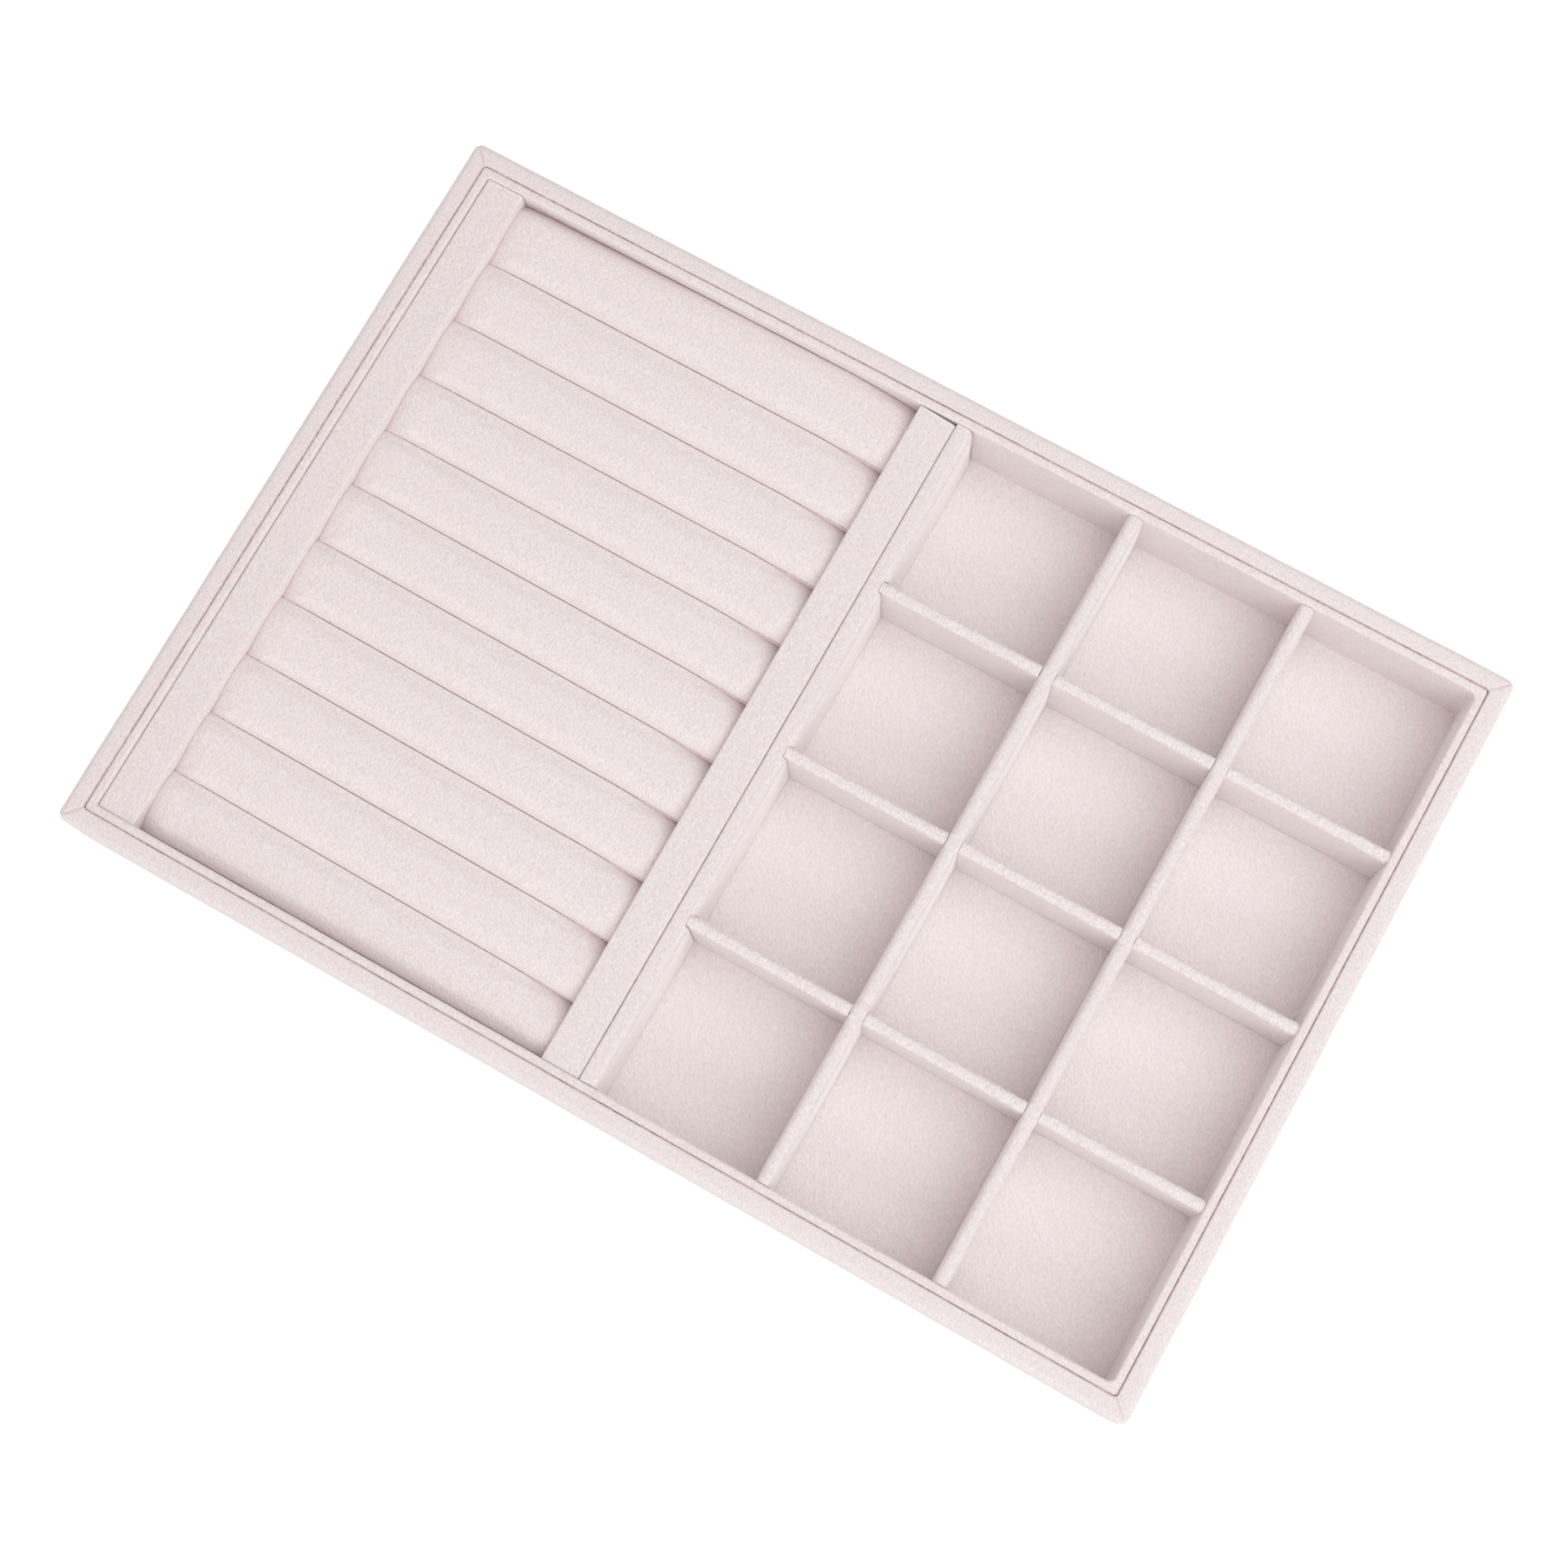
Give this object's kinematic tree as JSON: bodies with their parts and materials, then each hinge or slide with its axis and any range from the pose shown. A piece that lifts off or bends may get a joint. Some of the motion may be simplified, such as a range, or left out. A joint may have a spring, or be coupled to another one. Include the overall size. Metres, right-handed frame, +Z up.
{
  "type": "jewelry tray",
  "caption": "Shallow rectangular jewelry tray in pale blush suede, with a lift-out insert of soft ring rolls at one end and a grid of open square compartments at the other.",
  "frame": {"origin": "on the resting plane, under the middle of the tray", "axes": "+X along the long side from the ring rolls towards the compartments, +Y to the rear long side, +Z up out of the tray"},
  "size_m": [0.35, 0.24, 0.03],
  "materials": {
    "suede": "short-napped microfibre suede, pale blush, matt",
    "roll_suede": "the same suede drawn over foam, fine pebbled grain",
    "floor_suede": "the same suede laid flat, pebbled grain",
    "underside_felt": "plain suede backing sheet, matt",
    "board": "bare fibreboard, hidden under the cloth",
    "foam": "open-cell foam, hidden under the cloth"
  },
  "bodies": {
    "tray": {"base_board": "board", "underside_sheet": "underside_felt", "floor_lining": "floor_suede", "front_wall_core": "board", "rear_wall_core": "board", "left_wall_core": "board", "right_wall_core": "board", "front_wall_cover": "suede", "rear_wall_cover": "suede", "left_wall_cover": "suede", "right_wall_cover": "suede", "front_liner_core": "board", "rear_liner_core": "board", "left_liner_core": "board", "right_liner_core": "board", "front_liner_cover": "suede", "rear_liner_cover": "suede", "left_liner_cover": "suede", "right_liner_cover": "suede", "partition_core": "board", "partition_cover": "suede"},
    "ring_insert": {"insert_board": "board", "left_end_bar_core": "board", "left_end_bar_cover": "suede", "right_end_bar_core": "board", "right_end_bar_cover": "suede", "ring_roll_foam_01": "foam", "ring_roll_foam_02": "foam", "ring_roll_foam_03": "foam", "ring_roll_foam_04": "foam", "ring_roll_foam_05": "foam", "ring_roll_foam_06": "foam", "ring_roll_foam_07": "foam", "ring_roll_foam_08": "foam", "ring_roll_foam_09": "foam", "ring_roll_foam_10": "foam", "ring_roll_foam_11": "foam", "ring_roll_cover_01": "roll_suede", "ring_roll_cover_02": "roll_suede", "ring_roll_cover_03": "roll_suede", "ring_roll_cover_04": "roll_suede", "ring_roll_cover_05": "roll_suede", "ring_roll_cover_06": "roll_suede", "ring_roll_cover_07": "roll_suede", "ring_roll_cover_08": "roll_suede", "ring_roll_cover_09": "roll_suede", "ring_roll_cover_10": "roll_suede", "ring_roll_cover_11": "roll_suede"},
    "cross_dividers": {"front_cross_divider_core": "board", "front_cross_divider_cover": "suede", "middle_cross_divider_core": "board", "middle_cross_divider_cover": "suede", "rear_cross_divider_core": "board", "rear_cross_divider_cover": "suede"},
    "left_long_divider": {"left_long_divider_core": "board", "left_long_divider_cover": "suede"},
    "right_long_divider": {"right_long_divider_core": "board", "right_long_divider_cover": "suede"}
  },
  "joints": [
    {"name": "ring_insert_lift", "type": "slide", "parent": "tray", "child": "ring_insert", "axis": [0, 0, 1], "range_m": [0, 0.04]},
    {"name": "cross_dividers_lift", "type": "slide", "parent": "tray", "child": "cross_dividers", "axis": [0, 0, 1], "range_m": [0, 0.04]},
    {"name": "left_long_divider_lift", "type": "slide", "parent": "cross_dividers", "child": "left_long_divider", "axis": [0, 0, 1], "range_m": [0, 0.03]},
    {"name": "right_long_divider_lift", "type": "slide", "parent": "cross_dividers", "child": "right_long_divider", "axis": [0, 0, 1], "range_m": [0, 0.03]}
  ]
}
